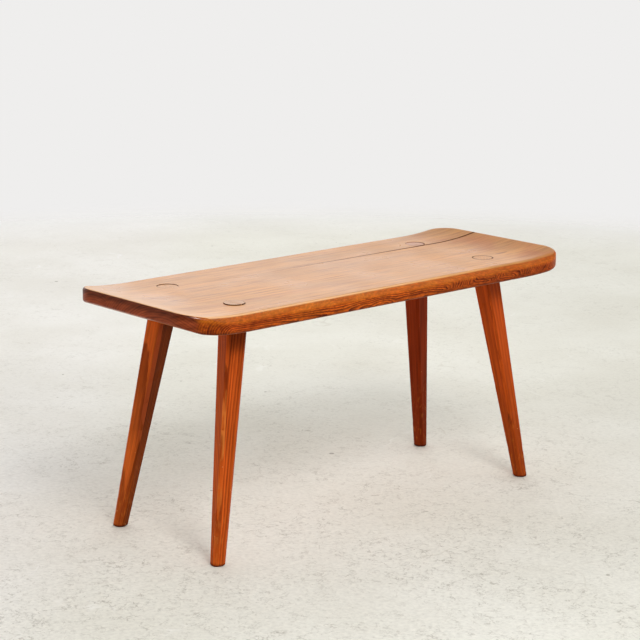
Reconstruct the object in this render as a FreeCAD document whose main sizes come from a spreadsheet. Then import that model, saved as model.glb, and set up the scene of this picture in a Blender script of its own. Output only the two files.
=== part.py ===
"""A four-legged plank bench: a two-board seat with lifted ends on splayed, through-tenoned legs.

The frame has +X along the seat, +Y towards its rear edge and +Z up. The origin lies on the floor
under the middle of the seat. Lengths are millimetres and angles are degrees.
"""
import FreeCAD, Part
import math
import os
import Sketcher
from FreeCAD import Vector

# Driving dimensions: name, value and meaning
SIZES = [
    ("seat_height", 430, "floor to the flat middle of the seat"),
    ("seat_length", 906, "overall length of the seat"),
    ("seat_depth", 349, "front edge to rear edge"),
    ("seat_thickness", 28.8, "thickness in the flat middle"),
    ("corner_radius", 62, "rounding of the seat's corners in plan"),
    ("lift_run", 115, "length of each lifted end, along X"),
    ("lift_rise", 9.9, "how far the top rises over that length"),
    ("bevel_run", 62, "length of the easing under each end, along X"),
    ("bevel_rise", 17.2, "how far the underside rises over that length"),
    ("crown_width", 20, "width of the rounded slope along each long edge"),
    ("crown_drop", 9, "how far that slope falls before the edge"),
    ("rim_round", 5, "rounding of the upper rim"),
    ("under_round", 6, "rounding of the lower rim"),
    ("seam_setback", 22, "rear tenons' centre line to the seam between the two boards"),
    ("seam_opening", 1.6, "gap of the shrunken seam at the right-hand end"),
    ("seam_opening_run", 460, "length over which that gap closes"),
    ("tenon_diameter", 36, "round tenon at the top of each leg"),
    ("tenon_fit", 0.25, "clearance round a tenon in its socket"),
    ("tenon_inset_x", 149, "end of the seat to a tenon's centre, at seat height"),
    ("tenon_inset_y", 85.5, "long edge of the seat to a tenon's centre, at seat height"),
    ("splay_x", 74.5, "how far a foot stands outside its tenon, along X"),
    ("splay_y", 45.5, "how far a foot stands outside its tenon, along Y"),
    ("leg_flats", 38.8, "leg across its flats, at seat height"),
    ("leg_round", 50.4, "leg across its rounded arrises, at seat height"),
    ("foot_flats", 23.4, "leg across its flats, at the floor"),
    ("foot_round", 25.2, "leg across its rounded arrises, at the floor"),
    ("foot_ease", 1.5, "bevel on the arrises at the sole of each foot"),
    ("twist_front_left", -11.5, "turn of the leg about its own axis"),
    ("twist_front_right", 2, "turn of the leg about its own axis"),
    ("twist_rear_left", 12.5, "turn of the leg about its own axis"),
    ("twist_rear_right", 6, "turn of the leg about its own axis"),
    ("stand_front_left", 1.2, "how far the tenon's end stands above the seat"),
    ("stand_front_right", 0, "how far the tenon's end stands above the seat"),
    ("stand_rear_left", -0.7, "how far the tenon's end stands above the seat, or below it if negative"),
    ("stand_rear_right", -0.4, "how far the tenon's end stands above the seat, or below it if negative"),
    ("wedge_thickness", 3.5, "tenon wedge at its head"),
    ("wedge_tip", 0.8, "tenon wedge at its thin end"),
    ("wedge_length", 22, "tenon wedge below seat height"),
    ("dowel_diameter", 10, "dowels across the seam"),
    ("dowel_length", 60, "half in each board"),
    ("dowel_fit", 0.15, "clearance round a dowel and at its ends"),
    ("spare", 1, "stock left on the seat's outline until it is sawn to shape"),
    ("overcut", 10, "how far a blank or a cutter runs past the cut"),
]

# Each leg's corner of the seat: its name, its side along X and its side along Y
CORNERS = [
    ("front_left", -1, -1),
    ("front_right", 1, -1),
    ("rear_left", -1, 1),
    ("rear_right", 1, 1),
]

# Sizes that follow from the driving ones
HALF_LENGTH = "sizes.seat_length / 2"
HALF_DEPTH = "sizes.seat_depth / 2"
UNDERSIDE = "(sizes.seat_height - sizes.seat_thickness)"
TENON_X = f"({HALF_LENGTH} - sizes.tenon_inset_x)"
TENON_Y = f"({HALF_DEPTH} - sizes.tenon_inset_y)"
SEAM = f"({TENON_Y} - sizes.seam_setback)"
LIFT_RADIUS = "(sizes.lift_run^2 + sizes.lift_rise^2) / (2 * sizes.lift_rise)"
BEVEL_RADIUS = "(sizes.bevel_run^2 + sizes.bevel_rise^2) / (2 * sizes.bevel_rise)"
CROWN_RADIUS = "(sizes.crown_width^2 + sizes.crown_drop^2) / (2 * sizes.crown_drop)"
AXIS_LENGTH = "sqrt(sizes.seat_height^2 + sizes.splay_x^2 + sizes.splay_y^2)"

# How a sketch numbers the points of a curve and its own axes
POINTS = {"start": 1, "end": 2, "centre": 3}
AXES = {"across": -1, "up": -2}


def make_sheet():
    """The spreadsheet that holds the driving dimensions."""
    sheet = doc.addObject("Spreadsheet::Sheet", "sizes")
    for row, (name, size, meaning) in enumerate(SIZES, start=1):
        sheet.set(f"A{row}", name)
        sheet.set(f"B{row}", str(size))
        sheet.set(f"C{row}", meaning)
        sheet.setAlias(f"B{row}", name)
    doc.recompute()
    return sheet


def value(expression):
    """The present value of a sheet expression."""
    return float(sheet.evalExpression(expression))


def make(kind, name, **sizes):
    """A document object whose named properties are tied to sheet expressions."""
    item = doc.addObject(kind, name)
    for prop, expression in sizes.items():
        item.setExpression(prop, expression)
    return item


def boolean(kind, name, base, tool):
    """A boolean of two document objects."""
    item = doc.addObject(kind, name)
    item.Base = base
    item.Tool = tool
    return item


def origin_plane(body, role):
    """One of a body's own origin planes."""
    return next(plane for plane in body.Origin.OriginFeatures if plane.Role == role)


def new_sketch(body, name, role):
    """A sketch on one of a body's own origin planes."""
    sketch = body.newObject("Sketcher::SketchObject", name)
    sketch.AttachmentSupport = (origin_plane(body, role), [""])
    sketch.MapMode = "FlatFace"
    return sketch


def dimension(sketch, kind, place, expression):
    """A sketch dimension tied to a sheet expression."""
    index = sketch.addConstraint(Sketcher.Constraint(kind, *place, value(expression)))
    sketch.setExpression(f"Constraints[{index}]", expression)


def pin(sketch, curve, end, across=None, up=None):
    """Ties a curve's point to its distances from the sketch origin, on the side where it is drawn."""
    origin = (AXES["across"], POINTS["start"])
    pinned = (curve, POINTS[end])
    drawn = sketch.getPoint(*pinned)
    for kind, place, expression in (("DistanceX", drawn.x, across), ("DistanceY", drawn.y, up)):
        if expression is None:
            continue
        ends = origin + pinned if place > 0 else pinned + origin
        dimension(sketch, kind, ends, expression)


def draw_line(sketch, start, end):
    """A straight sketch line between two points."""
    return sketch.addGeometry(Part.LineSegment(Vector(*start, 0), Vector(*end, 0)))


def draw_arc(sketch, centre, radius, start_angle, end_angle):
    """A sketch arc, counter-clockwise between two angles in degrees."""
    circle = Part.Circle(Vector(*centre, 0), Vector(0, 0, 1), radius)
    return sketch.addGeometry(Part.ArcOfCircle(circle, math.radians(start_angle), math.radians(end_angle)))


def square_up(sketch, horizontal=(), vertical=()):
    """Keeps sketch lines level or upright."""
    for line in horizontal:
        sketch.addConstraint(Sketcher.Constraint("Horizontal", line))
    for line in vertical:
        sketch.addConstraint(Sketcher.Constraint("Vertical", line))


def join(sketch, first, second, kind="Coincident"):
    """Joins the end of one curve to the start of the next, smoothly if the kind is Tangent."""
    sketch.addConstraint(Sketcher.Constraint(kind, first, POINTS["end"], second, POINTS["start"]))


def draw_polygon(sketch, points):
    """A closed run of straight lines through points drawn in order."""
    lines = [draw_line(sketch, start, end) for start, end in zip(points, points[1:] + points[:1])]
    for first, second in zip(lines, lines[1:] + lines[:1]):
        join(sketch, first, second)
    return lines


def draw_rectangle(sketch, half_width, half_height):
    """A rectangle centred on the sketch origin."""
    across, up = value(half_width), value(half_height)
    bottom, right, top, left = draw_polygon(
        sketch, [(-across, -up), (across, -up), (across, up), (-across, up)])
    square_up(sketch, horizontal=(bottom, top), vertical=(right, left))
    pin(sketch, bottom, "start", half_width, half_height)
    pin(sketch, top, "start", half_width, half_height)


def draw_rounded_rectangle(sketch, half_width, half_height, radius):
    """A rectangle with round corners, centred on the sketch origin."""
    across, up, corner = value(half_width), value(half_height), value(radius)
    inner_x, inner_y = across - corner, up - corner
    bottom = draw_line(sketch, (-inner_x, -up), (inner_x, -up))
    low_right = draw_arc(sketch, (inner_x, -inner_y), corner, -90, 0)
    right = draw_line(sketch, (across, -inner_y), (across, inner_y))
    high_right = draw_arc(sketch, (inner_x, inner_y), corner, 0, 90)
    top = draw_line(sketch, (inner_x, up), (-inner_x, up))
    high_left = draw_arc(sketch, (-inner_x, inner_y), corner, 90, 180)
    left = draw_line(sketch, (-across, inner_y), (-across, -inner_y))
    low_left = draw_arc(sketch, (-inner_x, -inner_y), corner, 180, 270)
    run = [bottom, low_right, right, high_right, top, high_left, left, low_left]
    for first, second in zip(run, run[1:] + run[:1]):
        join(sketch, first, second, "Tangent")
    square_up(sketch, horizontal=(bottom, top), vertical=(right, left))
    for arc in (low_right, high_right, high_left, low_left):
        dimension(sketch, "Radius", (arc,), radius)
    pin(sketch, bottom, "start", up=half_height)
    pin(sketch, top, "start", up=half_height)
    pin(sketch, right, "start", across=half_width)
    pin(sketch, left, "start", across=half_width)


def rim_edges(shape, direction):
    """Names of the edges round the upper (1) or lower (-1) faces of the seat."""
    steepest_slope = 70
    faces = []
    for face in shape.Faces:
        first_u, last_u, first_v, last_v = face.ParameterRange
        normal = face.normalAt((first_u + last_u) / 2, (first_v + last_v) / 2)
        if normal.z * direction > math.cos(math.radians(steepest_slope)):
            faces.append(face)
    names = []
    for number, edge in enumerate(shape.Edges, start=1):
        touching = [face for face in faces if any(side.isSame(edge) for side in face.Edges)]
        if len(touching) == 1:
            names.append(f"Edge{number}")
    return names


def seat_section(body):
    """The seat across its middle: flat, with a rounded slope along each long edge."""
    sketch = new_sketch(body, "seat_section", "YZ_Plane")
    outer = f"{HALF_DEPTH} + sizes.spare"
    flat = f"{HALF_DEPTH} - sizes.crown_width"
    half, inner = value(outer), value(flat)
    top_z, low_z, radius = value("sizes.seat_height"), value(UNDERSIDE), value(CROWN_RADIUS)
    reach = math.degrees(math.acos((half - inner) / radius))
    edge_z = top_z - radius + radius * math.sin(math.radians(reach))
    bottom = draw_line(sketch, (-half, low_z), (half, low_z))
    front = draw_line(sketch, (half, low_z), (half, edge_z))
    front_slope = draw_arc(sketch, (inner, top_z - radius), radius, reach, 90)
    top = draw_line(sketch, (inner, top_z), (-inner, top_z))
    rear_slope = draw_arc(sketch, (-inner, top_z - radius), radius, 90, 180 - reach)
    rear = draw_line(sketch, (-half, edge_z), (-half, low_z))
    join(sketch, bottom, front)
    join(sketch, front, front_slope)
    join(sketch, front_slope, top, "Tangent")
    join(sketch, top, rear_slope, "Tangent")
    join(sketch, rear_slope, rear)
    join(sketch, rear, bottom)
    square_up(sketch, horizontal=(bottom, top), vertical=(front, rear))
    pin(sketch, bottom, "start", outer, UNDERSIDE)
    pin(sketch, bottom, "end", outer)
    pin(sketch, top, "start", flat, "sizes.seat_height")
    pin(sketch, top, "end", flat)
    dimension(sketch, "Radius", (front_slope,), CROWN_RADIUS)
    dimension(sketch, "Radius", (rear_slope,), CROWN_RADIUS)
    return sketch


def lift_path(body):
    """The line that the seat's top follows from its middle to its lifted end."""
    sketch = new_sketch(body, "lift_path", "XZ_Plane")
    flat = f"{HALF_LENGTH} - sizes.lift_run"
    outer = f"{HALF_LENGTH} + sizes.spare"
    bend, top_z, radius = value(flat), value("sizes.seat_height"), value(LIFT_RADIUS)
    sweep = math.degrees(math.asin((value(outer) - bend) / radius))
    level = draw_line(sketch, (0, top_z), (bend, top_z))
    lift = draw_arc(sketch, (bend, top_z + radius), radius, -90, sweep - 90)
    join(sketch, level, lift, "Tangent")
    square_up(sketch, horizontal=(level,))
    sketch.addConstraint(Sketcher.Constraint("PointOnObject", level, POINTS["start"], AXES["up"]))
    pin(sketch, level, "end", flat, "sizes.seat_height")
    pin(sketch, lift, "end", outer)
    dimension(sketch, "Radius", (lift,), LIFT_RADIUS)
    return sketch


def bevel_outline(body):
    """What is planed away under one end of the seat."""
    sketch = new_sketch(body, "bevel_outline", "XZ_Plane")
    inner = f"{HALF_LENGTH} - sizes.bevel_run"
    outer = f"{HALF_LENGTH} + sizes.spare + sizes.overcut"
    floor = f"{UNDERSIDE} - sizes.overcut"
    near, far, low_z, radius = value(inner), value(outer), value(floor), value(BEVEL_RADIUS)
    under_z = value(UNDERSIDE)
    sweep = math.degrees(math.asin((far - near) / radius))
    high_z = under_z + radius - radius * math.cos(math.radians(sweep))
    curve = draw_arc(sketch, (near, under_z + radius), radius, -90, sweep - 90)
    outside = draw_line(sketch, (far, high_z), (far, low_z))
    below = draw_line(sketch, (far, low_z), (near, low_z))
    inside = draw_line(sketch, (near, low_z), (near, under_z))
    run = [curve, outside, below, inside]
    for first, second in zip(run, run[1:] + run[:1]):
        join(sketch, first, second)
    square_up(sketch, horizontal=(below,), vertical=(outside, inside))
    pin(sketch, curve, "start", inner, UNDERSIDE)
    pin(sketch, curve, "centre", inner)
    dimension(sketch, "Radius", (curve,), BEVEL_RADIUS)
    pin(sketch, below, "start", outer, floor)
    return sketch


def make_seat():
    """The glued-up seat before it is bored: swept, sawn to its outline and rounded over."""
    body = doc.addObject("PartDesign::Body", "seat_blank")
    section = seat_section(body)
    path = lift_path(body)
    half = body.newObject("PartDesign::AdditivePipe", "seat_half")
    half.Profile = section
    half.Spine = (path, ["Edge1", "Edge2"])
    doc.recompute()

    bevel = body.newObject("PartDesign::Pocket", "end_bevel")
    bevel.Profile = bevel_outline(body)
    bevel.SideType = "Symmetric"
    bevel.setExpression("Length", "sizes.seat_depth + 2 * sizes.overcut")
    doc.recompute()

    whole = body.newObject("PartDesign::Mirrored", "seat_whole")
    whole.Originals = [half, bevel]
    whole.MirrorPlane = (origin_plane(body, "YZ_Plane"), [""])
    body.Tip = whole
    doc.recompute()

    outline = new_sketch(body, "plan_outline", "XY_Plane")
    draw_rectangle(outline, f"{HALF_LENGTH} + sizes.overcut", f"{HALF_DEPTH} + sizes.overcut")
    draw_rounded_rectangle(outline, HALF_LENGTH, HALF_DEPTH, "sizes.corner_radius")
    sawn = body.newObject("PartDesign::Pocket", "sawn_outline")
    sawn.Profile = outline
    sawn.Type = "ThroughAll"
    sawn.Reversed = True
    doc.recompute()

    for name, direction, radius in (("upper_rim", 1, "sizes.rim_round"),
                                    ("lower_rim", -1, "sizes.under_round")):
        base = body.Tip
        rounding = body.newObject("PartDesign::Fillet", name)
        rounding.Base = (base, rim_edges(base.Shape, direction))
        rounding.setExpression("Radius", radius)
        doc.recompute()
    return body


def make_stock(name, points):
    """A board's share of the seat in plan, from points as pairs of sheet expressions."""
    body = doc.addObject("PartDesign::Body", name)
    sketch = new_sketch(body, f"{name}_outline", "XY_Plane")
    places = [(value(across), value(up)) for across, up in points]
    for line, (across, up) in zip(draw_polygon(sketch, places), points):
        point = sketch.getPoint(line, POINTS["start"])
        pin(sketch, line, "start", across if point.x > 0 else f"-({across})", up if point.y > 0 else f"-({up})")
    pad = body.newObject("PartDesign::Pad", f"{name}_pad")
    pad.Profile = sketch
    pad.setExpression("Length", "sizes.seat_height + sizes.lift_rise + sizes.overcut")
    return body


def foot_point(side_x, side_y):
    """Where a leg's axis meets the floor."""
    return f"vector({side_x} * ({TENON_X} + sizes.splay_x); {side_y} * ({TENON_Y} + sizes.splay_y); 0)"


def leg_frame(side_x, side_y, twist="0", start="0"):
    """The placement of a leg's axis, which rises from its foot on the floor to its tenon."""
    hinge = f"vector({side_y} * sizes.splay_y; {-side_x} * sizes.splay_x; 0)"
    splay = "atan(sqrt(sizes.splay_x^2 + sizes.splay_y^2) / sizes.seat_height)"
    turned = f"rotation({hinge}; {splay}) * rotation(vector(0; 0; 1); {twist})"
    return f"placement({foot_point(side_x, side_y)}; {turned}) * placement(vector(0; 0; {start}); rotation(vector(0; 0; 1); 0))"


def make_tenon_slab(name):
    """A level slab, wider than the bench, from the seat's underside to the end of a tenon."""
    length = "2 * (sizes.seat_length + sizes.splay_x)"
    width = "2 * (sizes.seat_depth + sizes.splay_y)"
    corner = f"vector(-({length}) / 2; -({width}) / 2; {UNDERSIDE})"
    return make("Part::Box", f"tenon_slab_{name}", Length=length, Width=width,
                Height=f"sizes.seat_thickness + sizes.stand_{name}",
                Placement=f"placement({corner}; rotation(vector(0; 0; 1); 0))")


def make_axis_cylinder(name, radius, side_x, side_y):
    """A cylinder round a leg's axis, from the floor to above the seat."""
    return make("Part::Cylinder", name, Radius=radius, Height=f"{AXIS_LENGTH} + sizes.overcut",
                Placement=leg_frame(side_x, side_y))


def below_floor(at_floor, at_seat):
    """A leg's straight taper carried on past the floor, so that the sole can be cut level."""
    return f"{at_floor} - ({at_seat} - {at_floor}) * sizes.overcut / {AXIS_LENGTH}"


def make_leg_blank(name, side_x, side_y):
    """The tapering leg: a square taper whose arrises are rounded to a cone, so that the foot is nearly round."""
    body = make("PartDesign::Body", f"square_{name}",
                Placement=leg_frame(side_x, side_y, f"sizes.twist_{name}"))
    foot = new_sketch(body, f"foot_section_{name}", "XY_Plane")
    foot.setExpression("AttachmentOffset.Base.z", "-sizes.overcut")
    foot_half = f"({below_floor('sizes.foot_flats', 'sizes.leg_flats')}) / 2"
    draw_rectangle(foot, foot_half, foot_half)
    head = new_sketch(body, f"head_section_{name}", "XY_Plane")
    head.setExpression("AttachmentOffset.Base.z", AXIS_LENGTH)
    draw_rectangle(head, "sizes.leg_flats / 2", "sizes.leg_flats / 2")
    taper = body.newObject("PartDesign::AdditiveLoft", f"taper_{name}")
    taper.Profile = foot
    taper.Sections = [head]
    taper.Ruled = True
    cone = make("Part::Cone", f"turned_{name}", Height=f"{AXIS_LENGTH} + sizes.overcut",
                Radius1=f"({below_floor('sizes.foot_round', 'sizes.leg_round')}) / 2",
                Radius2="sizes.leg_round / 2", Placement=leg_frame(side_x, side_y, start="-sizes.overcut"))
    return boolean("Part::Common", f"leg_blank_{name}", body, cone)


def make_wedge_blank(name, side_x, side_y):
    """The tapered wedge before it is sawn off with the tenon, across the grain of the seat."""
    body = make("PartDesign::Body", f"wedge_blank_{name}", Placement=leg_frame(side_x, side_y))
    sketch = new_sketch(body, f"wedge_outline_{name}", "XZ_Plane")
    tip_z, head_z = f"{AXIS_LENGTH} - sizes.wedge_length", f"{AXIS_LENGTH} + sizes.overcut"
    tip_x, head_x = "sizes.wedge_tip / 2", "sizes.wedge_thickness / 2"
    corners = [(-1, tip_x, tip_z), (1, tip_x, tip_z), (1, head_x, head_z), (-1, head_x, head_z)]
    lines = draw_polygon(sketch, [(side * value(across), value(up)) for side, across, up in corners])
    for line, (side, across, up) in zip(lines, corners):
        pin(sketch, line, "start", across, up)
    pad = body.newObject("PartDesign::Pad", f"wedge_pad_{name}")
    pad.Profile = sketch
    pad.SideType = "Symmetric"
    pad.setExpression("Length", "sizes.tenon_diameter + sizes.overcut")
    return body


def make_level_cone(name, side_x, side_y):
    """A wide upright cone that cuts a leg level at the floor and under the seat, and eases its sole."""
    sole = "(sizes.foot_round / 2 - sizes.foot_ease)"
    return make("Part::Cone", f"level_{name}", Height=UNDERSIDE, Radius1=sole, Radius2=f"{sole} + {UNDERSIDE}",
                Placement=f"placement({foot_point(side_x, side_y)}; rotation(vector(0; 0; 1); 0))")


def make_leg(name, side_x, side_y):
    """A leg with its round tenon, and the wedge that spreads the tenon."""
    blank = make_leg_blank(name, side_x, side_y)
    shaft = boolean("Part::Common", f"shaft_{name}", blank, make_level_cone(name, side_x, side_y))
    rod = make_axis_cylinder(f"tenon_rod_{name}", "sizes.tenon_diameter / 2", side_x, side_y)
    tenon = boolean("Part::Common", f"tenon_{name}", rod, make_tenon_slab(name))
    wedge_blank = make_wedge_blank(name, side_x, side_y)
    whole = boolean("Part::Fuse", f"whole_{name}", shaft, tenon)
    leg = boolean("Part::Cut", f"leg_{name}", whole, wedge_blank)
    wedge = boolean("Part::Common", f"wedge_{name}", wedge_blank, tenon)
    return leg, wedge


def make_seam_pins(name, clearance):
    """A row of pins across the seam: between the tenons, and between each tenon and its end."""
    middle = f"{TENON_X} / 2"
    outer = f"({TENON_X} + {HALF_LENGTH}) / 2"
    length = f"sizes.dowel_length + 2 * {clearance}"
    height = f"{UNDERSIDE} + sizes.seat_thickness / 2"
    pins = []
    for number, place in enumerate((f"-{outer}", f"-{middle}", "0", middle, outer), start=1):
        start = f"vector({place}; {SEAM} - ({length}) / 2; {height})"
        pins.append(make("Part::Cylinder", f"{name}_{number}", Height=length,
                         Radius=f"sizes.dowel_diameter / 2 + {clearance}",
                         Placement=f"placement({start}; rotation(vector(1; 0; 0); -90))"))
    return pins


def gather(kind, name, shapes_property, items):
    """Several objects as one compound or one fused cutter."""
    group = doc.addObject(kind, name)
    setattr(group, shapes_property, items)
    return group


def make_boards(seat):
    """The front and rear boards, bored for the tenons and the dowels."""
    sockets = [make_axis_cylinder(f"socket_{name}", "sizes.tenon_diameter / 2 + sizes.tenon_fit", side_x, side_y)
               for name, side_x, side_y in CORNERS]
    bores = gather("Part::MultiFuse", "bores", "Shapes", sockets + make_seam_pins("dowel_hole", "sizes.dowel_fit"))
    left, right = f"-({HALF_LENGTH} + sizes.overcut)", f"{HALF_LENGTH} + sizes.overcut"
    front, rear = f"-({HALF_DEPTH} + sizes.overcut)", f"{HALF_DEPTH} + sizes.overcut"
    closed = f"{HALF_LENGTH} - sizes.seam_opening_run"
    stocks = {
        "seat_front_board": [(left, front), (right, front), (right, f"{SEAM} - sizes.seam_opening"),
                             (closed, SEAM), (left, SEAM)],
        "seat_rear_board": [(left, SEAM), (right, SEAM), (right, rear), (left, rear)],
    }
    boards = []
    for name, points in stocks.items():
        board = boolean("Part::Common", f"{name}_blank", seat, make_stock(f"{name}_stock", points))
        boards.append(boolean("Part::Cut", name, board, bores))
    return boards


def make_bench():
    """Every piece of the bench, in the order of its assembly."""
    pieces = make_boards(make_seat())
    pieces.append(gather("Part::Compound", "seam_dowels", "Links", make_seam_pins("dowel", "0")))
    for name, side_x, side_y in CORNERS:
        pieces.extend(make_leg(name, side_x, side_y))
    doc.recompute()
    return pieces


def check(pieces):
    """Stops if any object failed or any piece is not a sound solid."""
    failed = [item.Name for item in doc.Objects if {"Invalid", "Error"} & set(item.State)]
    if failed:
        raise RuntimeError(f"failed objects: {failed}")
    for piece in pieces:
        shape = piece.Shape
        if shape.isNull() or not shape.isValid() or not shape.Solids:
            raise RuntimeError(f"{piece.Label} is not a sound solid")
        print(f"{piece.Label}: {len(shape.Solids)} solid, {shape.Volume / 1000:.1f} cubic centimetres")


doc = FreeCAD.newDocument("bench")
sheet = make_sheet()
bench = make_bench()
check(bench)
os.makedirs("parts", exist_ok=True)
for piece in bench:
    piece.Shape.exportStep(f"parts/{piece.Label}.step")
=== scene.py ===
"""The varnished pine bench on a pale studio floor: its finishes, the stage, the lights and the camera."""
import math

import bpy
from mathutils import Matrix, Vector

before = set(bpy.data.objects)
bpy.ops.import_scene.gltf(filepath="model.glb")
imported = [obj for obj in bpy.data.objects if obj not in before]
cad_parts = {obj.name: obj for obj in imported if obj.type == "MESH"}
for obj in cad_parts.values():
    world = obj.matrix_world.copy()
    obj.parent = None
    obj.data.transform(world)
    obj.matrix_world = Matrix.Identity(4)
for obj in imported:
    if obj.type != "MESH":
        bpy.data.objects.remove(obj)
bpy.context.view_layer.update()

# Where the bench's own parts are, in metres
SEAT_HEIGHT = 0.430
FLAT_HALF_LENGTH = 0.338
LIFT_RADIUS = 0.6729
HALF_DEPTH = 0.1745
SEAM = 0.067
FOOT_X, FOOT_Y = 0.3785, 0.1345
SPLAY_X, SPLAY_Y = 0.0745, 0.0455
TENON_RADIUS = 0.018

# A leg's radius over its arrises at the floor, and what it gains per metre up the leg
FOOT_RADIUS, RADIUS_GAIN = 0.0126, 0.0293

# The heights over which the seat's edge takes painted shade below and pales above, before the ends are lifted
LOWER_ROUND = (0.4014, 0.4066)
UPPER_EDGE = (0.4160, 0.4235)

# How strongly the wood and its varnish bend light, and how dull the varnish is
SEAT_IOR, LEG_IOR, SMALL_WOOD_IOR = 1.13, 1.10, 1.25
VARNISH_IOR, VARNISH_ROUGHNESS = 1.3, 0.21

# The levels between which most of a soft random pattern lies
SOFT_LOW, SOFT_HIGH = 0.3, 0.7

# The floor's radius, how far from the bench it fades away, and how far it lies under the soles
FLOOR_RADIUS = 3.4
FADE_START, FADE_END = 2.5, 3.3
FLOOR_DROP = 0.0002


def shade(red, green, blue):
    """A colour from its screen values, 0 to 255, as the linear values that shaders take."""
    def linear(level):
        level /= 255
        return level / 12.92 if level <= 0.04045 else ((level + 0.055) / 1.055) ** 2.4
    return (linear(red), linear(green), linear(blue), 1.0)


def feed(tree, socket, source):
    """Feeds a socket from another socket, or sets it to a plain value."""
    if isinstance(source, bpy.types.NodeSocket):
        tree.links.new(source, socket)
    else:
        socket.default_value = source


def place(tree, kind, feeds=None, **settings):
    """A node with its settings made and its sockets fed."""
    node = tree.nodes.new(kind)
    for name, setting in settings.items():
        setattr(node, name, setting)
    for key, source in (feeds or {}).items():
        feed(tree, node.inputs[key], source)
    return node


def reckon(tree, operation, *values):
    """The result of a sum on plain values."""
    return place(tree, "ShaderNodeMath", dict(enumerate(values)), operation=operation).outputs[0]


def times(tree, first, second):
    """Two values multiplied."""
    return reckon(tree, "MULTIPLY", first, second)


def less(tree, first, second):
    """What is left of the first value when the second is taken away."""
    return reckon(tree, "SUBTRACT", first, second)


def add_share(tree, value, share, start):
    """A start with a share of a value added to it."""
    return reckon(tree, "MULTIPLY_ADD", value, share, start)


def square(tree, value):
    """A value times itself."""
    return reckon(tree, "POWER", value, 2.0)


def size_of(tree, value):
    """A value without its sign."""
    return reckon(tree, "ABSOLUTE", value)


def sum_vectors(tree, operation, vectors):
    """A sum on vectors, as its outputs."""
    feeds = dict(enumerate(vectors))
    return place(tree, "ShaderNodeVectorMath", feeds, operation=operation).outputs


def reckon_vector(tree, operation, *vectors):
    """The result of a sum on vectors, as a vector."""
    return sum_vectors(tree, operation, vectors)["Vector"]


def measure(tree, operation, *vectors):
    """The result of a sum on vectors, as a plain value."""
    return sum_vectors(tree, operation, vectors)["Value"]


def scale(tree, vector, factor):
    """A vector or colour made larger or smaller."""
    node = place(tree, "ShaderNodeVectorMath", {0: vector, "Scale": factor}, operation="SCALE")
    return node.outputs["Vector"]


def rise(tree, value, low, high, bottom=0.0, top=1.0):
    """A smooth change from bottom to top while the value goes from low to high."""
    feeds = {"Value": value, "From Min": low, "From Max": high, "To Min": bottom, "To Max": top}
    return place(tree, "ShaderNodeMapRange", feeds, interpolation_type="SMOOTHSTEP").outputs["Result"]


def fall(tree, value, low, high):
    """A smooth fall from 1 to 0 while the value goes from low to high."""
    return rise(tree, value, low, high, 1.0, 0.0)


def split(tree, vector):
    """The three parts of a vector."""
    return place(tree, "ShaderNodeSeparateXYZ", {0: vector}).outputs


def join(tree, x, y, z):
    """A vector from its three parts."""
    return place(tree, "ShaderNodeCombineXYZ", {0: x, 1: y, 2: z}).outputs[0]


def mottle(tree, point, stretch, seed, detail=2.0):
    """Soft random patches, 0 to 1, with a number of patches per metre along each axis."""
    stretched = reckon_vector(tree, "MULTIPLY", point, stretch)
    feeds = {"Vector": stretched, "W": seed, "Scale": 1.0, "Detail": detail, "Roughness": 0.55}
    return place(tree, "ShaderNodeTexNoise", feeds, noise_dimensions="4D").outputs[0]


def waver(tree, point, stretch, seed, detail=2.0):
    """Soft random patches that swing about zero."""
    return less(tree, mottle(tree, point, stretch, seed, detail), 0.5)


def thin_lines(tree, point, per_metre, seed, detail, width):
    """Thin wandering lines on a level face, where soft random patches pass through their middle."""
    wave = waver(tree, point, (per_metre, per_metre, 1.0), seed, detail)
    return fall(tree, size_of(tree, wave), 0.0, width)


def tint(tree, mask, under, over):
    """One colour laid over another where the mask says."""
    node = place(tree, "ShaderNodeMix", data_type="RGBA", clamp_factor=True)
    sockets = {socket.identifier: socket for socket in node.inputs}
    feed(tree, sockets["Factor_Float"], mask)
    feed(tree, sockets["A_Color"], under)
    feed(tree, sockets["B_Color"], over)
    return next(socket for socket in node.outputs if socket.identifier == "Result_Color")


def glaze(tree, mask, share, under, over):
    """One colour laid thinly over another where the mask says."""
    return tint(tree, times(tree, mask, share), under, over)


def vary(tree, colour, pattern, darkest, lightest):
    """A colour made darker and lighter by a soft random pattern."""
    return scale(tree, colour, rise(tree, pattern, SOFT_LOW, SOFT_HIGH, darkest, lightest))


def from_axis(tree, point, centre, axis):
    """How far a point lies from a tenon's axis."""
    reach = reckon_vector(tree, "SUBTRACT", point, centre)
    return measure(tree, "LENGTH", reckon_vector(tree, "CROSS_PRODUCT", reach, axis))


def start_group(name, inputs, outputs):
    """An empty node group with named sockets: its tree, what it is given and what it puts out."""
    tree = bpy.data.node_groups.new(name, "ShaderNodeTree")
    for label, kind, default in inputs:
        socket = tree.interface.new_socket(name=label, in_out="INPUT", socket_type=f"NodeSocket{kind}")
        if default is not None:
            socket.default_value = default
    for label, kind in outputs:
        tree.interface.new_socket(name=label, in_out="OUTPUT", socket_type=f"NodeSocket{kind}")
    given = tree.nodes.new("NodeGroupInput").outputs
    out = tree.nodes.new("NodeGroupOutput").inputs
    return tree, given, out


def use_group(tree, group, feeds):
    """A placed copy of a node group, as its outputs."""
    return place(tree, "ShaderNodeGroup", feeds, node_tree=group).outputs


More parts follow.
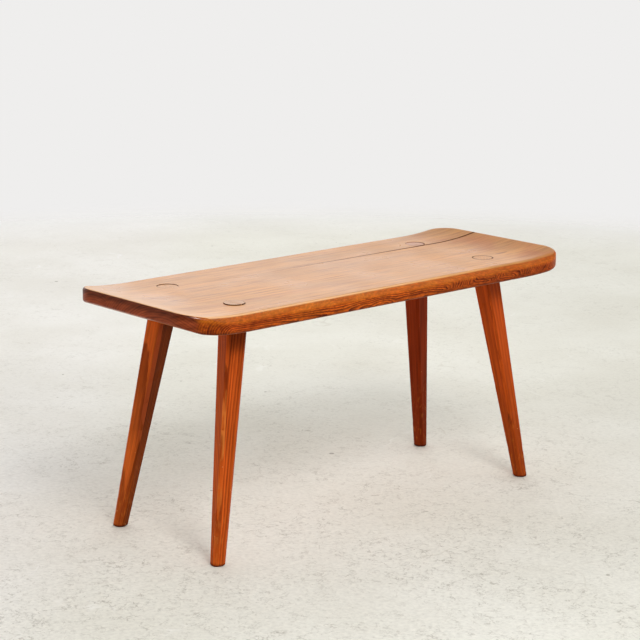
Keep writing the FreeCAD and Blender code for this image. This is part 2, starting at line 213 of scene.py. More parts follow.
def make_pine_grain():
    """Year rings round a pith along local Z, with fibres and resin flecks that run along it."""
    tree, given, out = start_group(
        "pine_grain",
        [("Point", "Vector", None), ("Ring Width", "Float", 0.004), ("Wander", "Float", 0.004),
         ("Curl", "Float", 0.0), ("Drift", "Float", 0.0), ("Late Start", "Float", 0.35),
         ("Seed", "Float", 0.0)],
        [("Late Wood", "Float"), ("Tone", "Float"), ("Fibre", "Float"), ("Fleck", "Float")])
    point, seed = given["Point"], given["Seed"]
    across, inward, _ = split(tree, point)
    from_pith = measure(tree, "LENGTH", join(tree, across, inward, 0.0))

    slow = waver(tree, point, (9.0, 9.0, 1.7), seed)
    quick = waver(tree, point, (55.0, 55.0, 17.0), seed, 3.0)
    bent = add_share(tree, slow, times(tree, given["Wander"], 2.0), from_pith)
    curled = add_share(tree, quick, times(tree, given["Curl"], 2.0), bent)
    years = reckon(tree, "ADD", reckon(tree, "DIVIDE", curled, given["Ring Width"]), given["Drift"])

    run_of_years = {"W": add_share(tree, years, 0.41, seed), "Scale": 1.0, "Detail": 1.0}
    good_years = place(tree, "ShaderNodeTexNoise", run_of_years, noise_dimensions="1D").outputs[0]
    uneven = add_share(tree, good_years, 0.9, years)
    season = reckon(tree, "FRACT", uneven)
    one_year = {"W": reckon(tree, "ADD", reckon(tree, "FLOOR", uneven), seed)}
    this_year = place(tree, "ShaderNodeTexWhiteNoise", one_year, noise_dimensions="1D").outputs[0]
    darkening = rise(tree, season, given["Late Start"], 0.9)
    winter = fall(tree, season, 0.93, 1.0)
    strength = add_share(tree, this_year, 0.5, 0.5)
    feed(tree, out["Late Wood"], times(tree, times(tree, darkening, winter), strength))

    tone_seed, fibre_seed, fleck_seed = (reckon(tree, "ADD", seed, step) for step in (3.0, 5.0, 8.0))
    feed(tree, out["Tone"], mottle(tree, point, (16.0, 16.0, 3.2), tone_seed))
    feed(tree, out["Fibre"], mottle(tree, point, (620.0, 620.0, 9.0), fibre_seed, 3.0))
    flecks = mottle(tree, point, (330.0, 330.0, 26.0), fleck_seed, 1.0)
    feed(tree, out["Fleck"], rise(tree, flecks, 0.66, 0.76))
    return tree


def make_amber_varnish():
    """The colour of pine under old amber varnish, from what its grain does."""
    tree, given, out = start_group(
        "amber_varnish",
        [("Early Colour", "Color", shade(190, 100, 40)), ("Late Colour", "Color", shade(110, 40, 12)),
         ("Contrast", "Float", 1.0), ("Patchiness", "Float", 0.3), ("Late Wood", "Float", 0.0),
         ("Tone", "Float", 0.5), ("Fibre", "Float", 0.5), ("Fleck", "Float", 0.0)],
        [("Colour", "Color")])
    late = times(tree, given["Late Wood"], given["Contrast"])
    rings = tint(tree, late, given["Early Colour"], given["Late Colour"])
    patch = less(tree, given["Tone"], 0.5)
    patched = scale(tree, rings, add_share(tree, patch, given["Patchiness"], 1.0))
    fibres = scale(tree, patched, rise(tree, given["Fibre"], 0.25, 0.75, 0.90, 1.08))
    flecks = times(tree, given["Fleck"], given["Contrast"])
    feed(tree, out["Colour"], glaze(tree, flecks, 0.5, fibres, given["Late Colour"]))
    return tree


def make_handling_marks():
    """Chips in the varnish, shallow dents and patches rubbed dull by use."""
    tree, given, out = start_group(
        "handling_marks",
        [("Point", "Vector", None), ("Per Metre", "Float", 45.0), ("Share", "Float", 0.1),
         ("Seed", "Float", 0.0)],
        [("Chip", "Float"), ("Dent", "Float"), ("Rubbed", "Float")])
    point, seed = given["Point"], given["Seed"]
    shifted = reckon_vector(tree, "ADD", point, scale(tree, (0.137, 0.291, 0.173), seed))
    cells = place(tree, "ShaderNodeTexVoronoi", {"Vector": shifted, "Scale": given["Per Metre"]})
    chance = split(tree, cells.outputs["Color"])
    chosen = reckon(tree, "LESS_THAN", chance[0], given["Share"])
    size = add_share(tree, chance[1], 0.09, 0.05)
    near = reckon(tree, "DIVIDE", cells.outputs["Distance"], size)
    feed(tree, out["Chip"], times(tree, fall(tree, near, 0.7, 1.1), chosen))
    feed(tree, out["Dent"], times(tree, fall(tree, near, 0.2, 3.0), chosen))
    rubbed_seed = reckon(tree, "ADD", seed, 2.0)
    feed(tree, out["Rubbed"], mottle(tree, point, (9.0, 9.0, 9.0), rubbed_seed, 3.0))
    return tree


def make_socket_line():
    """The dark line round a tenon where it meets the seat, widened towards its shade side into a crescent of
    painted shade.
    """
    tree, given, out = start_group(
        "socket_line",
        [("Point", "Vector", None), ("Centre", "Vector", None), ("Axis", "Vector", None),
         ("Shade Side", "Vector", None), ("Width", "Float", 0.0006)],
        [("Line", "Float")])
    point, centre, axis = given["Point"], given["Centre"], given["Axis"]
    off_tenon = from_axis(tree, point, centre, axis)
    outside = rise(tree, off_tenon, TENON_RADIUS - 0.0004, TENON_RADIUS + 0.0002)
    # Painted shade: the line widens towards the shade side, where a tenon's step lies in shadow
    from_shifted_axis = from_axis(tree, point, reckon_vector(tree, "ADD", centre, given["Shade Side"]), axis)
    past = less(tree, from_shifted_axis, given["Width"])
    inside = fall(tree, past, TENON_RADIUS - 0.0002, TENON_RADIUS + 0.0006)
    feed(tree, out["Line"], times(tree, outside, inside))
    return tree


pine_grain = make_pine_grain()
amber_varnish = make_amber_varnish()
handling_marks = make_handling_marks()
socket_line = make_socket_line()


def start_finish(name):
    """A new material: its tree, its shader and its coordinates on the piece."""
    finish = bpy.data.materials.new(name)
    finish.use_nodes = True
    tree = finish.node_tree
    tree.nodes.clear()
    shader = tree.nodes.new("ShaderNodeBsdfPrincipled")
    surface = tree.nodes.new("ShaderNodeOutputMaterial")
    tree.links.new(shader.outputs["BSDF"], surface.inputs["Surface"])
    return finish, tree, shader, tree.nodes.new("ShaderNodeTexCoord").outputs


def finish_wood(tree, shader, colour, roughness, varnish, ior):
    """Gives a shader the wood's colour and dullness, and the varnish that lies over it."""
    feed(tree, shader.inputs["Base Color"], colour)
    feed(tree, shader.inputs["Roughness"], roughness)
    feed(tree, shader.inputs["Coat Weight"], varnish)
    shader.inputs["IOR"].default_value = ior
    shader.inputs["Coat IOR"].default_value = VARNISH_IOR
    shader.inputs["Coat Roughness"].default_value = VARNISH_ROUGHNESS


def raise_grain(tree, shader, grain, marks):
    """Gives a shader the fine relief of the fibres, with the dents pressed into it."""
    relief = add_share(tree, marks["Dent"], -0.6, grain["Fibre"])
    bump = place(tree, "ShaderNodeBump", {"Strength": 0.12, "Distance": 0.0006, "Height": relief})
    feed(tree, shader.inputs["Normal"], bump.outputs["Normal"])


def stained(tree, grain, early, late, contrast=1.0, patchiness=0.3):
    """Pine grain in two colours."""
    feeds = {label: grain[label] for label in ("Late Wood", "Tone", "Fibre", "Fleck")}
    feeds.update({"Early Colour": early, "Late Colour": late,
                  "Contrast": contrast, "Patchiness": patchiness})
    return use_group(tree, amber_varnish, feeds)["Colour"]


def log_point(tree, point, pith, turn):
    """A point as seen from the pith of the log that a piece was sawn from."""
    feeds = {"Vector": point, "Location": pith, "Rotation": turn.to_euler("XYZ")}
    return place(tree, "ShaderNodeMapping", feeds, vector_type="TEXTURE").outputs["Vector"]


def leg_turn(side_x, side_y, twist):
    """How a leg is turned: splayed outwards, and twisted about its own axis."""
    hinge = Vector((side_y * SPLAY_Y, -side_x * SPLAY_X, 0))
    splay = math.atan(math.hypot(SPLAY_X, SPLAY_Y) / SEAT_HEIGHT)
    return Matrix.Rotation(splay, 3, hinge) @ Matrix.Rotation(math.radians(twist), 3, "Z")


def tenon_centre(side_x, side_y):
    """The middle of a tenon's end, at seat height."""
    return Vector((side_x * (FOOT_X - SPLAY_X), side_y * (FOOT_Y - SPLAY_Y), SEAT_HEIGHT))


# Boards lie with the grain along the seat, and dowels with theirs across the seam
BOARD_TURN = Matrix(((0, 0, 1), (1, 0, 0), (0, 1, 0)))
DOWEL_TURN = Matrix.Rotation(math.radians(90), 3, "X")

# Old marks on the top: the middle of each along X and Y, its half length and half width, and how dark it is
TOP_MARKS = [
    (-0.165, 0.011, 0.120, 0.0011, 0.45),
    (-0.230, -0.041, 0.055, 0.0010, 0.45),
    (0.060, -0.016, 0.140, 0.0009, 0.35),
    (-0.370, -0.014, 0.016, 0.0026, 0.55),
    (-0.352, -0.020, 0.012, 0.0016, 0.50),
    (0.360, -0.083, 0.020, 0.0040, 0.50),
    (0.205, 0.022, 0.090, 0.0010, 0.40),
    (-0.050, -0.112, 0.060, 0.0010, 0.35),
    (0.120, 0.120, 0.075, 0.0010, 0.35),
]

# Where the edge's grain arches over the front left leg, where it swirls, and the height of its curls' points
ARCH, SWIRL, CURL_HEIGHT = -0.375, -0.041, 0.4095

# The curls in that grain: where each starts and ends along the seat, and its number of rings
EDGE_CURLS = [(0.100, 0.195, 11.0), (0.222, 0.262, 5.0), (0.275, 0.455, 24.0)]


def top_colour_of(tree, grain, level_point, seed):
    """The worn top: pale straw with resin dashes and old marks, redder at the right-hand end and darkened there
    with painted shade.
    """
    x, y, _ = split(tree, level_point)
    colour = stained(tree, grain, shade(216, 149, 78), shade(184, 110, 48), 0.42, 0.25)
    patches = mottle(tree, level_point, (7.0, 26.0, 26.0), seed + 39, 4.0)
    colour = vary(tree, colour, patches, 0.88, 1.08)
    dashes = rise(tree, mottle(tree, level_point, (17.0, 420.0, 420.0), seed + 40, 3.0), 0.53, 0.66)
    colour = glaze(tree, dashes, 0.55, colour, shade(154, 80, 30))
    ragged = waver(tree, level_point, (60.0, 260.0, 260.0), seed + 42, 3.0)
    for middle_x, middle_y, half_length, half_width, depth in TOP_MARKS:
        off_x = reckon(tree, "DIVIDE", less(tree, x, middle_x), half_length)
        off_y = reckon(tree, "DIVIDE", less(tree, y, middle_y), half_width)
        off = reckon(tree, "ADD", square(tree, off_x), square(tree, off_y))
        mark = fall(tree, add_share(tree, ragged, 2.4, off), 0.2, 1.2)
        colour = glaze(tree, mark, depth, colour, shade(132, 56, 20))
    blush = rise(tree, mottle(tree, level_point, (9.0, 14.0, 14.0), seed + 41), 0.40, 0.65)
    blush = times(tree, blush, rise(tree, x, 0.28, 0.44))
    # Painted shade: the lifted right-hand end is darkened
    colour = scale(tree, colour, rise(tree, x, 0.27, 0.43, 1.0, 0.86))
    return glaze(tree, blush, 0.45, colour, shade(180, 88, 44))


def edge_grain_of(tree, along, level_z, seed):
    """The edge's rings, which arch over the front left leg, sag, swirl once and curl to the right of that."""
    arch = times(tree, reckon(tree, "MAXIMUM", less(tree, ARCH, along), 0.0), 0.56)
    sag = less(tree, rise(tree, along, ARCH, -0.15), rise(tree, along, -0.14, SWIRL))
    swirl = rise(tree, size_of(tree, less(tree, along, SWIRL)), 0.0, 0.035)
    swirl = times(tree, swirl, rise(tree, along, -0.10, -0.04))
    depth = add_share(tree, sag, 0.011, add_share(tree, swirl, 0.008, arch))
    off_point = size_of(tree, less(tree, level_z, CURL_HEIGHT))
    pointed = add_share(tree, off_point, -2.4, along)
    curls = 0.0
    for start, end, rings in EDGE_CURLS:
        curls = reckon(tree, "ADD", curls, rise(tree, pointed, start, end, 0.0, rings))
    pith_height = rise(tree, along, 0.06, 0.12, 0.404, 0.399)
    return use_group(tree, pine_grain, {
        "Point": join(tree, less(tree, level_z, pith_height), depth, times(tree, along, 2.2)),
        "Ring Width": 0.0030, "Wander": 0.0035,
        "Curl": rise(tree, along, -0.12, 0.10, 0.0013, 0.0024), "Drift": curls,
        "Late Start": rise(tree, along, -0.42, -0.38, -0.45, 0.10), "Seed": seed})


def edge_colour_of(tree, x, y, level_z, seed):
    """The amber edge: dark grain below and at the front left corner, paler with honey patches above, and painted
    shade on its lower rounding.
    """
    past_front = less(tree, HALF_DEPTH, size_of(tree, y))
    round_corner = times(tree, past_front, reckon(tree, "SIGN", x))
    along = add_share(tree, round_corner, 0.8, x)
    grain = edge_grain_of(tree, along, level_z, seed)
    at_corner = fall(tree, along, -0.41, -0.37)
    upper = rise(tree, level_z, *UPPER_EDGE)
    shows = reckon(tree, "MAXIMUM", add_share(tree, upper, -0.9, 1.25), times(tree, at_corner, 1.25))
    golden = times(tree, rise(tree, along, -0.34, -0.20), fall(tree, along, 0.05, 0.25))
    early = tint(tree, golden, shade(182, 78, 22), shade(194, 88, 22))
    early = tint(tree, at_corner, early, shade(184, 82, 20))
    late = tint(tree, at_corner, shade(84, 26, 8), shade(100, 30, 8))
    colour = stained(tree, grain, early, late, shows, 0.5)

    unrolled = join(tree, along, level_z, y)
    blotches = mottle(tree, unrolled, (90.0, 210.0, 90.0), seed + 3, 3.0)
    colour = vary(tree, colour, blotches, 0.72, 1.26)
    resin = rise(tree, mottle(tree, unrolled, (48.0, 240.0, 48.0), seed + 5), 0.62, 0.70)
    colour = glaze(tree, resin, 0.5, colour, shade(88, 24, 6))
    colour = glaze(tree, upper, 0.45, colour, shade(200, 108, 28))
    honey = rise(tree, mottle(tree, unrolled, (26.0, 110.0, 26.0), seed + 11, 3.0), 0.46, 0.64)
    honey = times(tree, honey, add_share(tree, upper, 0.35, 0.10))
    colour = tint(tree, honey, colour, shade(206, 116, 30))
    speckle = mottle(tree, unrolled, (170.0, 420.0, 170.0), seed + 8, 3.0)
    colour = vary(tree, colour, speckle, 0.76, 1.22)
    dusk = times(tree, less(tree, 1.0, upper), rise(tree, along, -0.05, 0.30, 0.0, 0.08))
    # Painted shade: the downturned lower rounding is darkened by up to 65 percent
    lower_round_shade = add_share(tree, fall(tree, level_z, *LOWER_ROUND), -0.65, 1.0)
    return scale(tree, colour, times(tree, less(tree, 1.0, dusk), lower_round_shade))


def end_colour_of(tree, grain, y, level_z, seed):
    """The dark end grain of the seat with slanting streaks, and painted shade that makes it darkest under the rim.
    """
    colour = stained(tree, grain, shade(156, 72, 40), shade(88, 35, 20), 0.7, 0.5)
    slant = join(tree, 0.0, add_share(tree, level_z, 2.2, y), level_z)
    streaks = mottle(tree, slant, (1.0, 55.0, 70.0), seed, 4.0)
    colour = vary(tree, colour, streaks, 0.66, 1.24)
    # Painted shade: the end face is darkened to half towards the rim
    return scale(tree, colour, rise(tree, level_z, 0.416, 0.425, 1.0, 0.5))


def level_point_of(tree, point):
    """A point of the seat as it lay before the ends were lifted."""
    x, y, z = split(tree, point)
    into_lift = reckon(tree, "MAXIMUM", less(tree, size_of(tree, x), FLAT_HALF_LENGTH), 0.0)
    lift = reckon(tree, "DIVIDE", square(tree, into_lift), 2 * LIFT_RADIUS)
    return join(tree, x, y, less(tree, z, lift))


def joint_dirt_of(tree, point, sockets):
    """Dirt in the open end of the seam and round the tenons."""
    x, y, _ = split(tree, point)
    from_seam = size_of(tree, less(tree, y, SEAM))
    gap = reckon(tree, "DIVIDE", from_seam, rise(tree, x, -0.10, 0.45, 0.0005, 0.0032))
    dirt = times(tree, fall(tree, gap, 0.6, 1.1), rise(tree, x, -0.14, 0.0))
    for socket in sockets:
        line = use_group(tree, socket_line, {"Point": point, **socket})["Line"]
        dirt = reckon(tree, "MAXIMUM", dirt, line)
    return dirt


def make_seat_finish(name, pith, seed, sockets):
    """The seat's worn top with a painted highlight along its rim, amber edges, dark ends and plain underside, with
    dirt in its joints; top, edges and ends also carry painted shade.
    """
    finish, tree, shader, coords = start_finish(name)
    point = coords["Object"]
    level_point = level_point_of(tree, point)
    x, y, level_z = split(tree, level_point)
    facing_x, facing_y, facing_z = split(tree, coords["Normal"])
    grain = use_group(tree, pine_grain, {
        "Point": log_point(tree, level_point, pith, BOARD_TURN),
        "Ring Width": 0.0046, "Wander": 0.007, "Curl": 0.0006, "Seed": seed})

    sideways, frontways = size_of(tree, facing_x), size_of(tree, facing_y)
    endways = reckon(tree, "DIVIDE", sideways, reckon(tree, "ADD", sideways, frontways))
    colour = tint(tree, rise(tree, endways, 0.46, 0.58),
                  edge_colour_of(tree, x, y, level_z, seed + 20),
                  end_colour_of(tree, grain, y, level_z, seed + 50))
    on_top = rise(tree, facing_z, 0.91, 0.965)
    colour = tint(tree, on_top, colour, top_colour_of(tree, grain, level_point, seed))
    # Painted highlight: a pale line where the rim starts to round over, fading out towards the right-hand end
    rim_highlight = times(tree, rise(tree, facing_z, 0.93, 0.965), fall(tree, facing_z, 0.984, 0.997))
    rim_highlight = times(tree, rim_highlight, fall(tree, x, 0.08, 0.34))
    colour = glaze(tree, rim_highlight, 0.85, colour, shade(241, 179, 112))
    underside = stained(tree, grain, shade(176, 92, 36), shade(112, 46, 16), 0.9)
    colour = tint(tree, fall(tree, facing_z, -0.95, -0.6), colour, underside)

    marks = use_group(tree, handling_marks, {
        "Point": point, "Per Metre": 40.0, "Share": 0.05, "Seed": seed + 30})
    colour = glaze(tree, marks["Chip"], 0.45, colour, shade(226, 170, 120))
    dirt = joint_dirt_of(tree, point, sockets)
    colour = glaze(tree, dirt, 0.86, colour, shade(50, 22, 9))

    dull = rise(tree, marks["Rubbed"], SOFT_LOW, SOFT_HIGH, 0.26, 0.36)
    unworn = rise(tree, marks["Rubbed"], SOFT_LOW, SOFT_HIGH, 0.76, 0.60)
    unworn = times(tree, unworn, rise(tree, x, -0.02, 0.34, 1.0, 0.5))
    varnish = times(tree, rise(tree, facing_z, 0.35, 0.80), unworn)
    finish_wood(tree, shader, colour, add_share(tree, dirt, 0.6, dull),
                times(tree, varnish, less(tree, 1.0, dirt)), SEAT_IOR)
    raise_grain(tree, shader, grain, marks)
    return finish


def add_streaks(tree, colour, leg, local):
    """A leg's colour with streaks laid down its outer front arris, each shaped like a long lens; the front left
    leg's pale ones are grain figure and painted highlight.
    """
    across, inward, up_leg = split(tree, local)
    off_axis = measure(tree, "LENGTH", join(tree, across, inward, 0.0))
    round_radius = add_share(tree, up_leg, RADIUS_GAIN, FOOT_RADIUS)
    ripple = waver(tree, local, (150.0, 150.0, 30.0), leg["seed"] + 6, 3.0)
    outwards = add_share(tree, ripple, 0.05, reckon(tree, "DIVIDE", off_axis, round_radius))
    arris = times(tree, fall(tree, across, -0.006, -0.002), fall(tree, inward, -0.006, -0.002))
    # The pale streaks carry both grain figure and a painted highlight on the arris
    for middle, reach, width, streak_colour in leg["streaks"]:
        off_middle = reckon(tree, "DIVIDE", less(tree, up_leg, middle), reach)
        lens = less(tree, 1.0, square(tree, off_middle))
        rim_start = add_share(tree, lens, -width, 1.0)
        streak = rise(tree, less(tree, outwards, rim_start), 0.0, 0.016)
        colour = glaze(tree, times(tree, streak, arris), 0.85, colour, streak_colour)
    return colour


def make_leg_finish(name, leg):
    """A leg's straight amber grain and streaks, with painted shade on its front under the seat, scuffs below and
    its tenon's end on top.
    """
    finish, tree, shader, coords = start_finish(name)
    point = coords["Object"]
    z = split(tree, point)[2]
    _, facing_y, facing_z = split(tree, coords["Normal"])
    side_x, side_y = leg["sides"]
    turn = leg_turn(side_x, side_y, leg["twist"])
    local = log_point(tree, point, Vector((side_x * FOOT_X, side_y * FOOT_Y, 0)), turn)
    seed = leg["seed"]
    grain = use_group(tree, pine_grain, {
        "Point": reckon_vector(tree, "SUBTRACT", local, (*leg["pith"], 0.0)),
        "Ring Width": leg["ring_width"], "Wander": 0.0045, "Curl": 0.0012, "Late Start": 0.15,
        "Seed": seed})
    colour = stained(tree, grain, leg["early"], leg["late"], leg["contrast"], 0.5)
    towards_heart = measure(tree, "DOT_PRODUCT", local, leg["heart_side"])
    colour = scale(tree, colour, rise(tree, towards_heart, -0.004, 0.009, 1.0, leg["heart"]))
    fine_lines = mottle(tree, local, (360.0, 360.0, 8.0), seed + 14)
    colour = vary(tree, colour, fine_lines, 0.80, 1.18)
    colour = add_streaks(tree, colour, leg, local)
    # Painted shadow: faces that look forward are darkened just under the seat, where its overhang shades them
    facing_front = fall(tree, facing_y, -0.8, -0.3)
    painted_seat_shade = times(tree, rise(tree, z, 0.342, 0.374, 0.0, leg["painted_seat_shade"]), facing_front)
    colour = scale(tree, colour, less(tree, 1.0, painted_seat_shade))
    colour = scale(tree, colour, rise(tree, z, 0.0, 0.26, leg["foot_tone"], 1.0))

    marks = use_group(tree, handling_marks, {
        "Point": point, "Per Metre": 95.0, "Share": 0.16, "Seed": seed + 30})
    chips = times(tree, marks["Chip"], fall(tree, z, 0.05, 0.36))
    colour = glaze(tree, chips, 0.7, colour, shade(226, 160, 98))
    scrapes = rise(tree, mottle(tree, point, (260.0, 260.0, 60.0), seed + 11, 4.0), 0.53, 0.66)
    scuffs = times(tree, scrapes, fall(tree, z, 0.02, 0.19))
    colour = glaze(tree, scuffs, 0.32, colour, shade(206, 116, 44))
    dirty_sole = fall(tree, z, 0.001, 0.006)
    colour = glaze(tree, dirty_sole, 0.75, colour, shade(46, 22, 14))

    on_top = times(tree, rise(tree, facing_z, 0.8, 0.95), rise(tree, z, 0.42, 0.425))
    colour = tint(tree, on_top, colour, stained(tree, grain, leg["disc"], leg["late"], 0.12))
    # Painted near-black just under the tenon's end: a dark joint line, which also paints the shade on the tenon's
    # side wall
    off_axis = from_axis(tree, point, tenon_centre(side_x, side_y), turn @ Vector((0, 0, 1)))
    rim = times(tree, rise(tree, off_axis, TENON_RADIUS - 0.0008, TENON_RADIUS - 0.0002),
                rise(tree, z, 0.405, 0.41))
    colour = glaze(tree, rim, 0.85, colour, shade(44, 20, 8))

    dull = rise(tree, marks["Rubbed"], SOFT_LOW, SOFT_HIGH, 0.24, 0.36)
    scuffed = add_share(tree, scuffs, 0.15, dull)
    finish_wood(tree, shader, colour, add_share(tree, rim, 0.5, scuffed),
                times(tree, on_top, leg["disc_varnish"]), LEG_IOR)
    raise_grain(tree, shader, grain, marks)
    return finish


def make_small_wood_finish(name, early, late, turn, roughness):
    """A plain finish for the wedges and the dowels, which are cut from straight stock."""
    finish, tree, shader, coords = start_finish(name)
    grain = use_group(tree, pine_grain, {
        "Point": log_point(tree, coords["Object"], Vector((0.02, 0.03, 0)), turn),
        "Ring Width": 0.003, "Wander": 0.002, "Seed": 61.0})
    feed(tree, shader.inputs["Base Color"], stained(tree, grain, early, late, 0.8))
    dull = rise(tree, grain["Fibre"], SOFT_LOW, SOFT_HIGH, roughness, roughness + 0.12)
    feed(tree, shader.inputs["Roughness"], dull)
    shader.inputs["IOR"].default_value = SMALL_WOOD_IOR
    return finish


def dress(node, finish):
    """Gives a CAD node its finish."""
    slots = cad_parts[node].data.materials
    slots.clear()
    slots.append(finish)


# Each leg's place: its sides along X and Y, and its twist in degrees.
# Its wood: where its pith lay across it, its rings and how they show, its early and late wood, how dark its
# heartwood is and towards which side that lies.
# Its wear and painted light: how dark its foot is, how strongly painted shade darkens its front under the seat, and
# the streaks on its outer front arris (the middle and reach of each up the leg, its share of the arris and its
# colour; the front left leg's pale ones are grain figure and painted highlight).
# Its tenon's end: its colour and varnish, the side towards which the dark line round it widens into painted shade,
# and the width of that line.
LEGS = {
    "front_left": {
        "sides": (-1, -1), "twist": -11.5,
        "pith": (0.040, 0.040), "ring_width": 0.0032, "contrast": 0.80, "seed": 1.0,
        "early": shade(203, 88, 28), "late": shade(90, 26, 8),
        "heart": 0.90, "heart_side": (1.0, 0.0, 0.0),
        "foot_tone": 0.97, "painted_seat_shade": 0.56,
        "streaks": [(0.340, 0.050, 0.014, shade(214, 118, 52)), (0.238, 0.080, 0.022, shade(220, 124, 54)),
                    (0.128, 0.055, 0.018, shade(208, 110, 44)), (0.055, 0.030, 0.014, shade(196, 100, 40))],
        "disc": shade(206, 148, 96), "disc_varnish": 0.78,
        "shade_side": (-0.0004, -0.0010, 0.0), "line_width": 0.0006},
    "front_right": {
        "sides": (1, -1), "twist": 2.0,
        "pith": (-0.050, 0.030), "ring_width": 0.0062, "contrast": 0.34, "seed": 2.0,
        "early": shade(190, 79, 24), "late": shade(104, 31, 9),
        "heart": 1.0, "heart_side": (1.0, 0.0, 0.0),
        "foot_tone": 0.70, "painted_seat_shade": 0.35,
        "streaks": [(0.345, 0.070, 0.016, shade(84, 28, 8)), (0.225, 0.060, 0.014, shade(92, 30, 8)),
                    (0.120, 0.030, 0.012, shade(92, 30, 8))],
        "disc": shade(214, 148, 82), "disc_varnish": 0.44,
        "shade_side": (0.0, 0.0, 0.0), "line_width": 0.0016},
    "rear_left": {
        "sides": (-1, 1), "twist": 12.5,
        "pith": (0.080, 0.010), "ring_width": 0.0038, "contrast": 0.75, "seed": 23.0,
        "early": shade(212, 99, 36), "late": shade(90, 26, 8),
        "heart": 0.33, "heart_side": (0.5, -0.87, 0.0),
        "foot_tone": 0.93, "painted_seat_shade": 0.36,
        "streaks": [(0.310, 0.170, 0.040, shade(178, 82, 42))],
        "disc": shade(217, 150, 82), "disc_varnish": 0.78,
        "shade_side": (-0.0003, 0.0004, 0.0), "line_width": 0.0004},
    "rear_right": {
        "sides": (1, 1), "twist": 6.0,
        "pith": (0.020, 0.090), "ring_width": 0.0060, "contrast": 0.4, "seed": 4.0,
        "early": shade(143, 50, 16), "late": shade(92, 28, 8),
        "heart": 0.85, "heart_side": (0.5, -0.87, 0.0),
        "foot_tone": 0.88, "painted_seat_shade": 0.30,
        "streaks": [],
        "disc": shade(196, 134, 96), "disc_varnish": 0.5,
        "shade_side": (0.0, -0.0008, 0.0), "line_width": 0.0006},
}

sockets = {}
for corner, leg in LEGS.items():
    straight = leg_turn(*leg["sides"], 0)
    sockets[corner] = {"Centre": tenon_centre(*leg["sides"]), "Axis": straight @ Vector((0, 0, 1)),
                       "Shade Side": Vector(leg["shade_side"]), "Width": leg["line_width"]}
    dress(f"leg_{corner}", make_leg_finish(f"leg_{corner}_pine", leg))
    dress(f"wedge_{corner}", make_small_wood_finish(
        f"wedge_{corner}_wood", leg["disc"], leg["late"], straight, 0.36))

dress("seat_front_board", make_seat_finish(
    "front_board_pine", Vector((0, -0.085, 0.300)), 7.0, [sockets["front_left"], sockets["front_right"]]))
dress("seat_rear_board", make_seat_finish(
    "rear_board_pine", Vector((0, 0.100, 0.330)), 9.0, [sockets["rear_left"], sockets["rear_right"]]))
dress("seam_dowels", make_small_wood_finish(
    "bare_dowel_wood", shade(222, 190, 140), shade(190, 150, 100), DOWEL_TURN, 0.6))

# Scratches in the floor's paint: the seed, width and colour of each kind
FLOOR_SCRATCHES = [(11.0, 0.003, shade(206, 202, 191)), (17.0, 0.004, shade(244, 243, 239))]

# Cracks in it: the seed of each kind, how many there are per metre, their width and how dark they are
FLOOR_CRACKS = [(23.0, 26.0, 0.020, 0.50), (37.0, 11.0, 0.009, 0.60), (43.0, 60.0, 0.030, 0.40)]


def floor_colour_of(tree, point):
    """Pale paint with scratches, cracks, grit and specks, smoother at the back, and paler there and on the left."""
    to_the_back = measure(tree, "DOT_PRODUCT", point, (0.75, 0.66, 0.0))
    to_the_right = measure(tree, "DOT_PRODUCT", point, (0.734, -0.68, 0.0))
    broad = mottle(tree, point, (2.4, 2.4, 1.0), 3.0, 3.0)
    colour = tint(tree, rise(tree, broad, SOFT_LOW, SOFT_HIGH), shade(224, 222, 213), shade(233, 232, 225))
    coarse = rise(tree, to_the_back, -0.6, 1.2, 1.0, 0.35)
    fine = times(tree, waver(tree, point, (120.0, 120.0, 1.0), 5.0, 5.0), coarse)
    colour = scale(tree, colour, add_share(tree, fine, 0.45, 1.0))
    for seed, width, touch in FLOOR_SCRATCHES:
        scratch = thin_lines(tree, point, 1.5, seed, 4.0, width)
        patchy = rise(tree, mottle(tree, point, (7.0, 7.0, 1.0), seed + 1, 3.0), 0.52, 0.66)
        colour = glaze(tree, times(tree, scratch, patchy), 0.5, colour, touch)
    gritty = rise(tree, mottle(tree, point, (4.5, 4.5, 1.0), 29.0, 4.0), 0.36, 0.60, 0.30, 1.0)
    gritty = times(tree, gritty, coarse)
    for seed, per_metre, width, depth in FLOOR_CRACKS:
        crack = thin_lines(tree, point, per_metre, seed, 6.0, width)
        broken = rise(tree, mottle(tree, point, (34.0, 34.0, 1.0), seed + 2, 3.0), 0.47, 0.60)
        crack = times(tree, crack, times(tree, broken, gritty))
        colour = glaze(tree, crack, depth, colour, shade(148, 142, 130))
    grit = rise(tree, mottle(tree, point, (150.0, 150.0, 1.0), 53.0, 3.0), 0.57, 0.72)
    colour = glaze(tree, times(tree, grit, gritty), 0.5, colour, shade(150, 145, 133))
    specks = use_group(tree, handling_marks, {
        "Point": point, "Per Metre": 24.0, "Share": 0.035, "Seed": 4.0})
    colour = glaze(tree, specks["Chip"], 0.6, colour, shade(120, 114, 102))
    cleaner = times(tree, rise(tree, to_the_back, 0.45, 1.25, 1.0, 1.14),
                    rise(tree, to_the_right, 0.15, 0.75, 1.0, 0.94))
    colour = scale(tree, colour, cleaner)
    paler = reckon_vector(tree, "MULTIPLY", colour, (1.055, 1.048, 1.095))
    return tint(tree, fall(tree, to_the_right, -0.62, -0.30), colour, paler)


def make_floor():
    """A round floor of pale painted concrete, which fades into the backdrop at its rim."""
    bpy.ops.object.select_all(action="DESELECT")
    bpy.ops.mesh.primitive_circle_add(vertices=128, radius=FLOOR_RADIUS, fill_type="NGON",
                                      location=(0, 0, -FLOOR_DROP))
    floor = bpy.context.object
    floor.name = "studio_floor"
    paint, tree, shader, coords = start_finish("studio_floor_paint")
    point = coords["Object"]
    feed(tree, shader.inputs["Base Color"], floor_colour_of(tree, point))
    shader.inputs["Roughness"].default_value = 0.8
    shader.inputs["IOR"].default_value = 1.2
    from_bench = measure(tree, "LENGTH", point)
    feed(tree, shader.inputs["Alpha"], fall(tree, from_bench, FADE_START, FADE_END))
    floor.data.materials.append(paint)


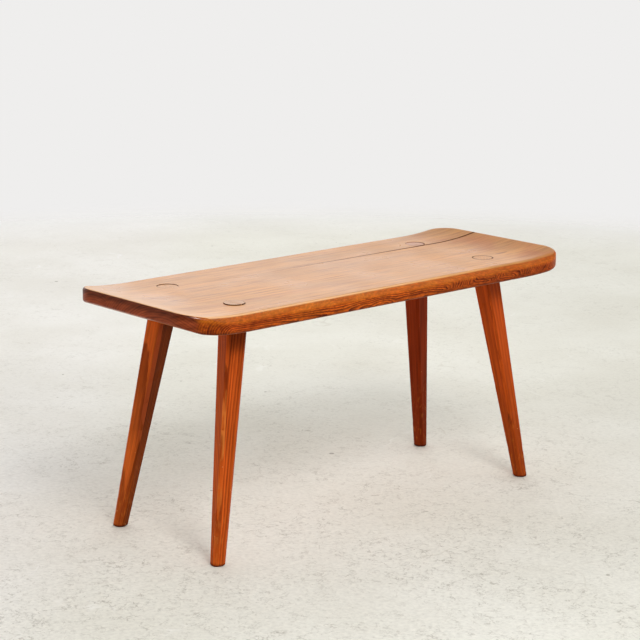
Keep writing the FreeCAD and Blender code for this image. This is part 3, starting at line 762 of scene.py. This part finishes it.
def make_backdrop():
    """Light from pale walls, brightest behind the bench, and the paper that the camera and reflections see."""
    world = bpy.data.worlds.new("studio")
    bpy.context.scene.world = world
    world.use_nodes = True
    tree = world.node_tree
    tree.nodes.clear()
    direction = tree.nodes.new("ShaderNodeTexCoord").outputs["Generated"]
    height = split(tree, direction)[2]
    behind = measure(tree, "DOT_PRODUCT", direction, (0.80, 0.60, 0.0))
    walls = rise(tree, behind, -0.7, 0.8, 0.41, 1.98)
    ceiling = rise(tree, height, 0.55, 0.85)
    level = times(tree, walls, add_share(tree, ceiling, -0.7, 1.0))
    fill = place(tree, "ShaderNodeBackground", {"Color": (1.0, 0.995, 0.96, 1.0), "Strength": level})
    paper = tint(tree, rise(tree, height, 0.22, 0.32), shade(239, 238, 237), shade(116, 114, 111))
    backdrop = place(tree, "ShaderNodeBackground", {"Color": paper, "Strength": 1.0})
    rays = tree.nodes.new("ShaderNodeLightPath").outputs
    seen = reckon(tree, "MAXIMUM", rays["Is Camera Ray"], rays["Is Glossy Ray"])
    seen = reckon(tree, "MAXIMUM", seen, rays["Is Transmission Ray"])
    mix = place(tree, "ShaderNodeMixShader", {0: seen, 1: fill.outputs[0], 2: backdrop.outputs[0]})
    surface = tree.nodes.new("ShaderNodeOutputWorld")
    tree.links.new(mix.outputs[0], surface.inputs["Surface"])


def add_softbox(name, place_at, aim_at, width, height, power, shape="RECTANGLE"):
    """A soft lamp that the camera doesn't see."""
    bpy.ops.object.select_all(action="DESELECT")
    bpy.ops.object.light_add(type="AREA", location=place_at)
    lamp = bpy.context.object
    lamp.name = name
    lamp.data.shape = shape
    lamp.data.size = width
    lamp.data.size_y = height
    lamp.data.energy = power
    lamp.rotation_euler = (Vector(aim_at) - Vector(place_at)).to_track_quat("-Z", "Y").to_euler()
    lamp.visible_camera = False
    return lamp


def light_the_bench():
    """The main lamp at the front, two softboxes behind, and a small lamp that only makes a glint."""
    front_lamp = add_softbox("front_lamp", place_at=(-0.827, -2.167, 2.567), aim_at=(0.0, 0.0, 0.0),
                             width=1.11, height=1.19, power=43.0, shape="ELLIPSE")
    front_lamp.data.color = (1.0, 0.99, 0.97)
    add_softbox("back_softbox", place_at=(3.00, 3.45, 1.40), aim_at=(0.0, 0.0, 0.45),
                width=4.4, height=1.2, power=8.0)
    add_softbox("rim_softbox", place_at=(2.60, 2.85, 2.90), aim_at=(0.0, 0.0, 0.43),
                width=1.8, height=0.5, power=8.0)
    glint_lamp = add_softbox("glint_lamp", place_at=(-1.64, -0.87, 3.09), aim_at=(-0.44, -0.15, 0.43),
                             width=0.45, height=0.45, power=220.0)
    glint_lamp.visible_diffuse = False


def add_camera():
    """The camera where the photograph was taken from."""
    azimuth, elevation, roll = math.radians(-42.82), math.radians(13.03), math.radians(0.60)
    aim = Vector((0.35188, 0.408, 0.215))
    distance = 4.1446
    level = math.cos(elevation)
    back = Vector((math.sin(azimuth) * level, -math.cos(azimuth) * level, math.sin(elevation)))
    right = Vector((math.cos(azimuth), math.sin(azimuth), 0))
    up = back.cross(right)
    turned_right = right * math.cos(roll) + up * math.sin(roll)
    turned_up = up * math.cos(roll) - right * math.sin(roll)
    bpy.ops.object.select_all(action="DESELECT")
    bpy.ops.object.camera_add(location=aim + back * distance)
    camera = bpy.context.object
    camera.rotation_euler = Matrix((turned_right, turned_up, back)).transposed().to_euler()
    camera.data.sensor_width = 36.0
    camera.data.lens = 111.625
    bpy.context.scene.camera = camera


make_floor()
make_backdrop()
light_the_bench()
add_camera()
bpy.context.scene.view_settings.view_transform = "Standard"
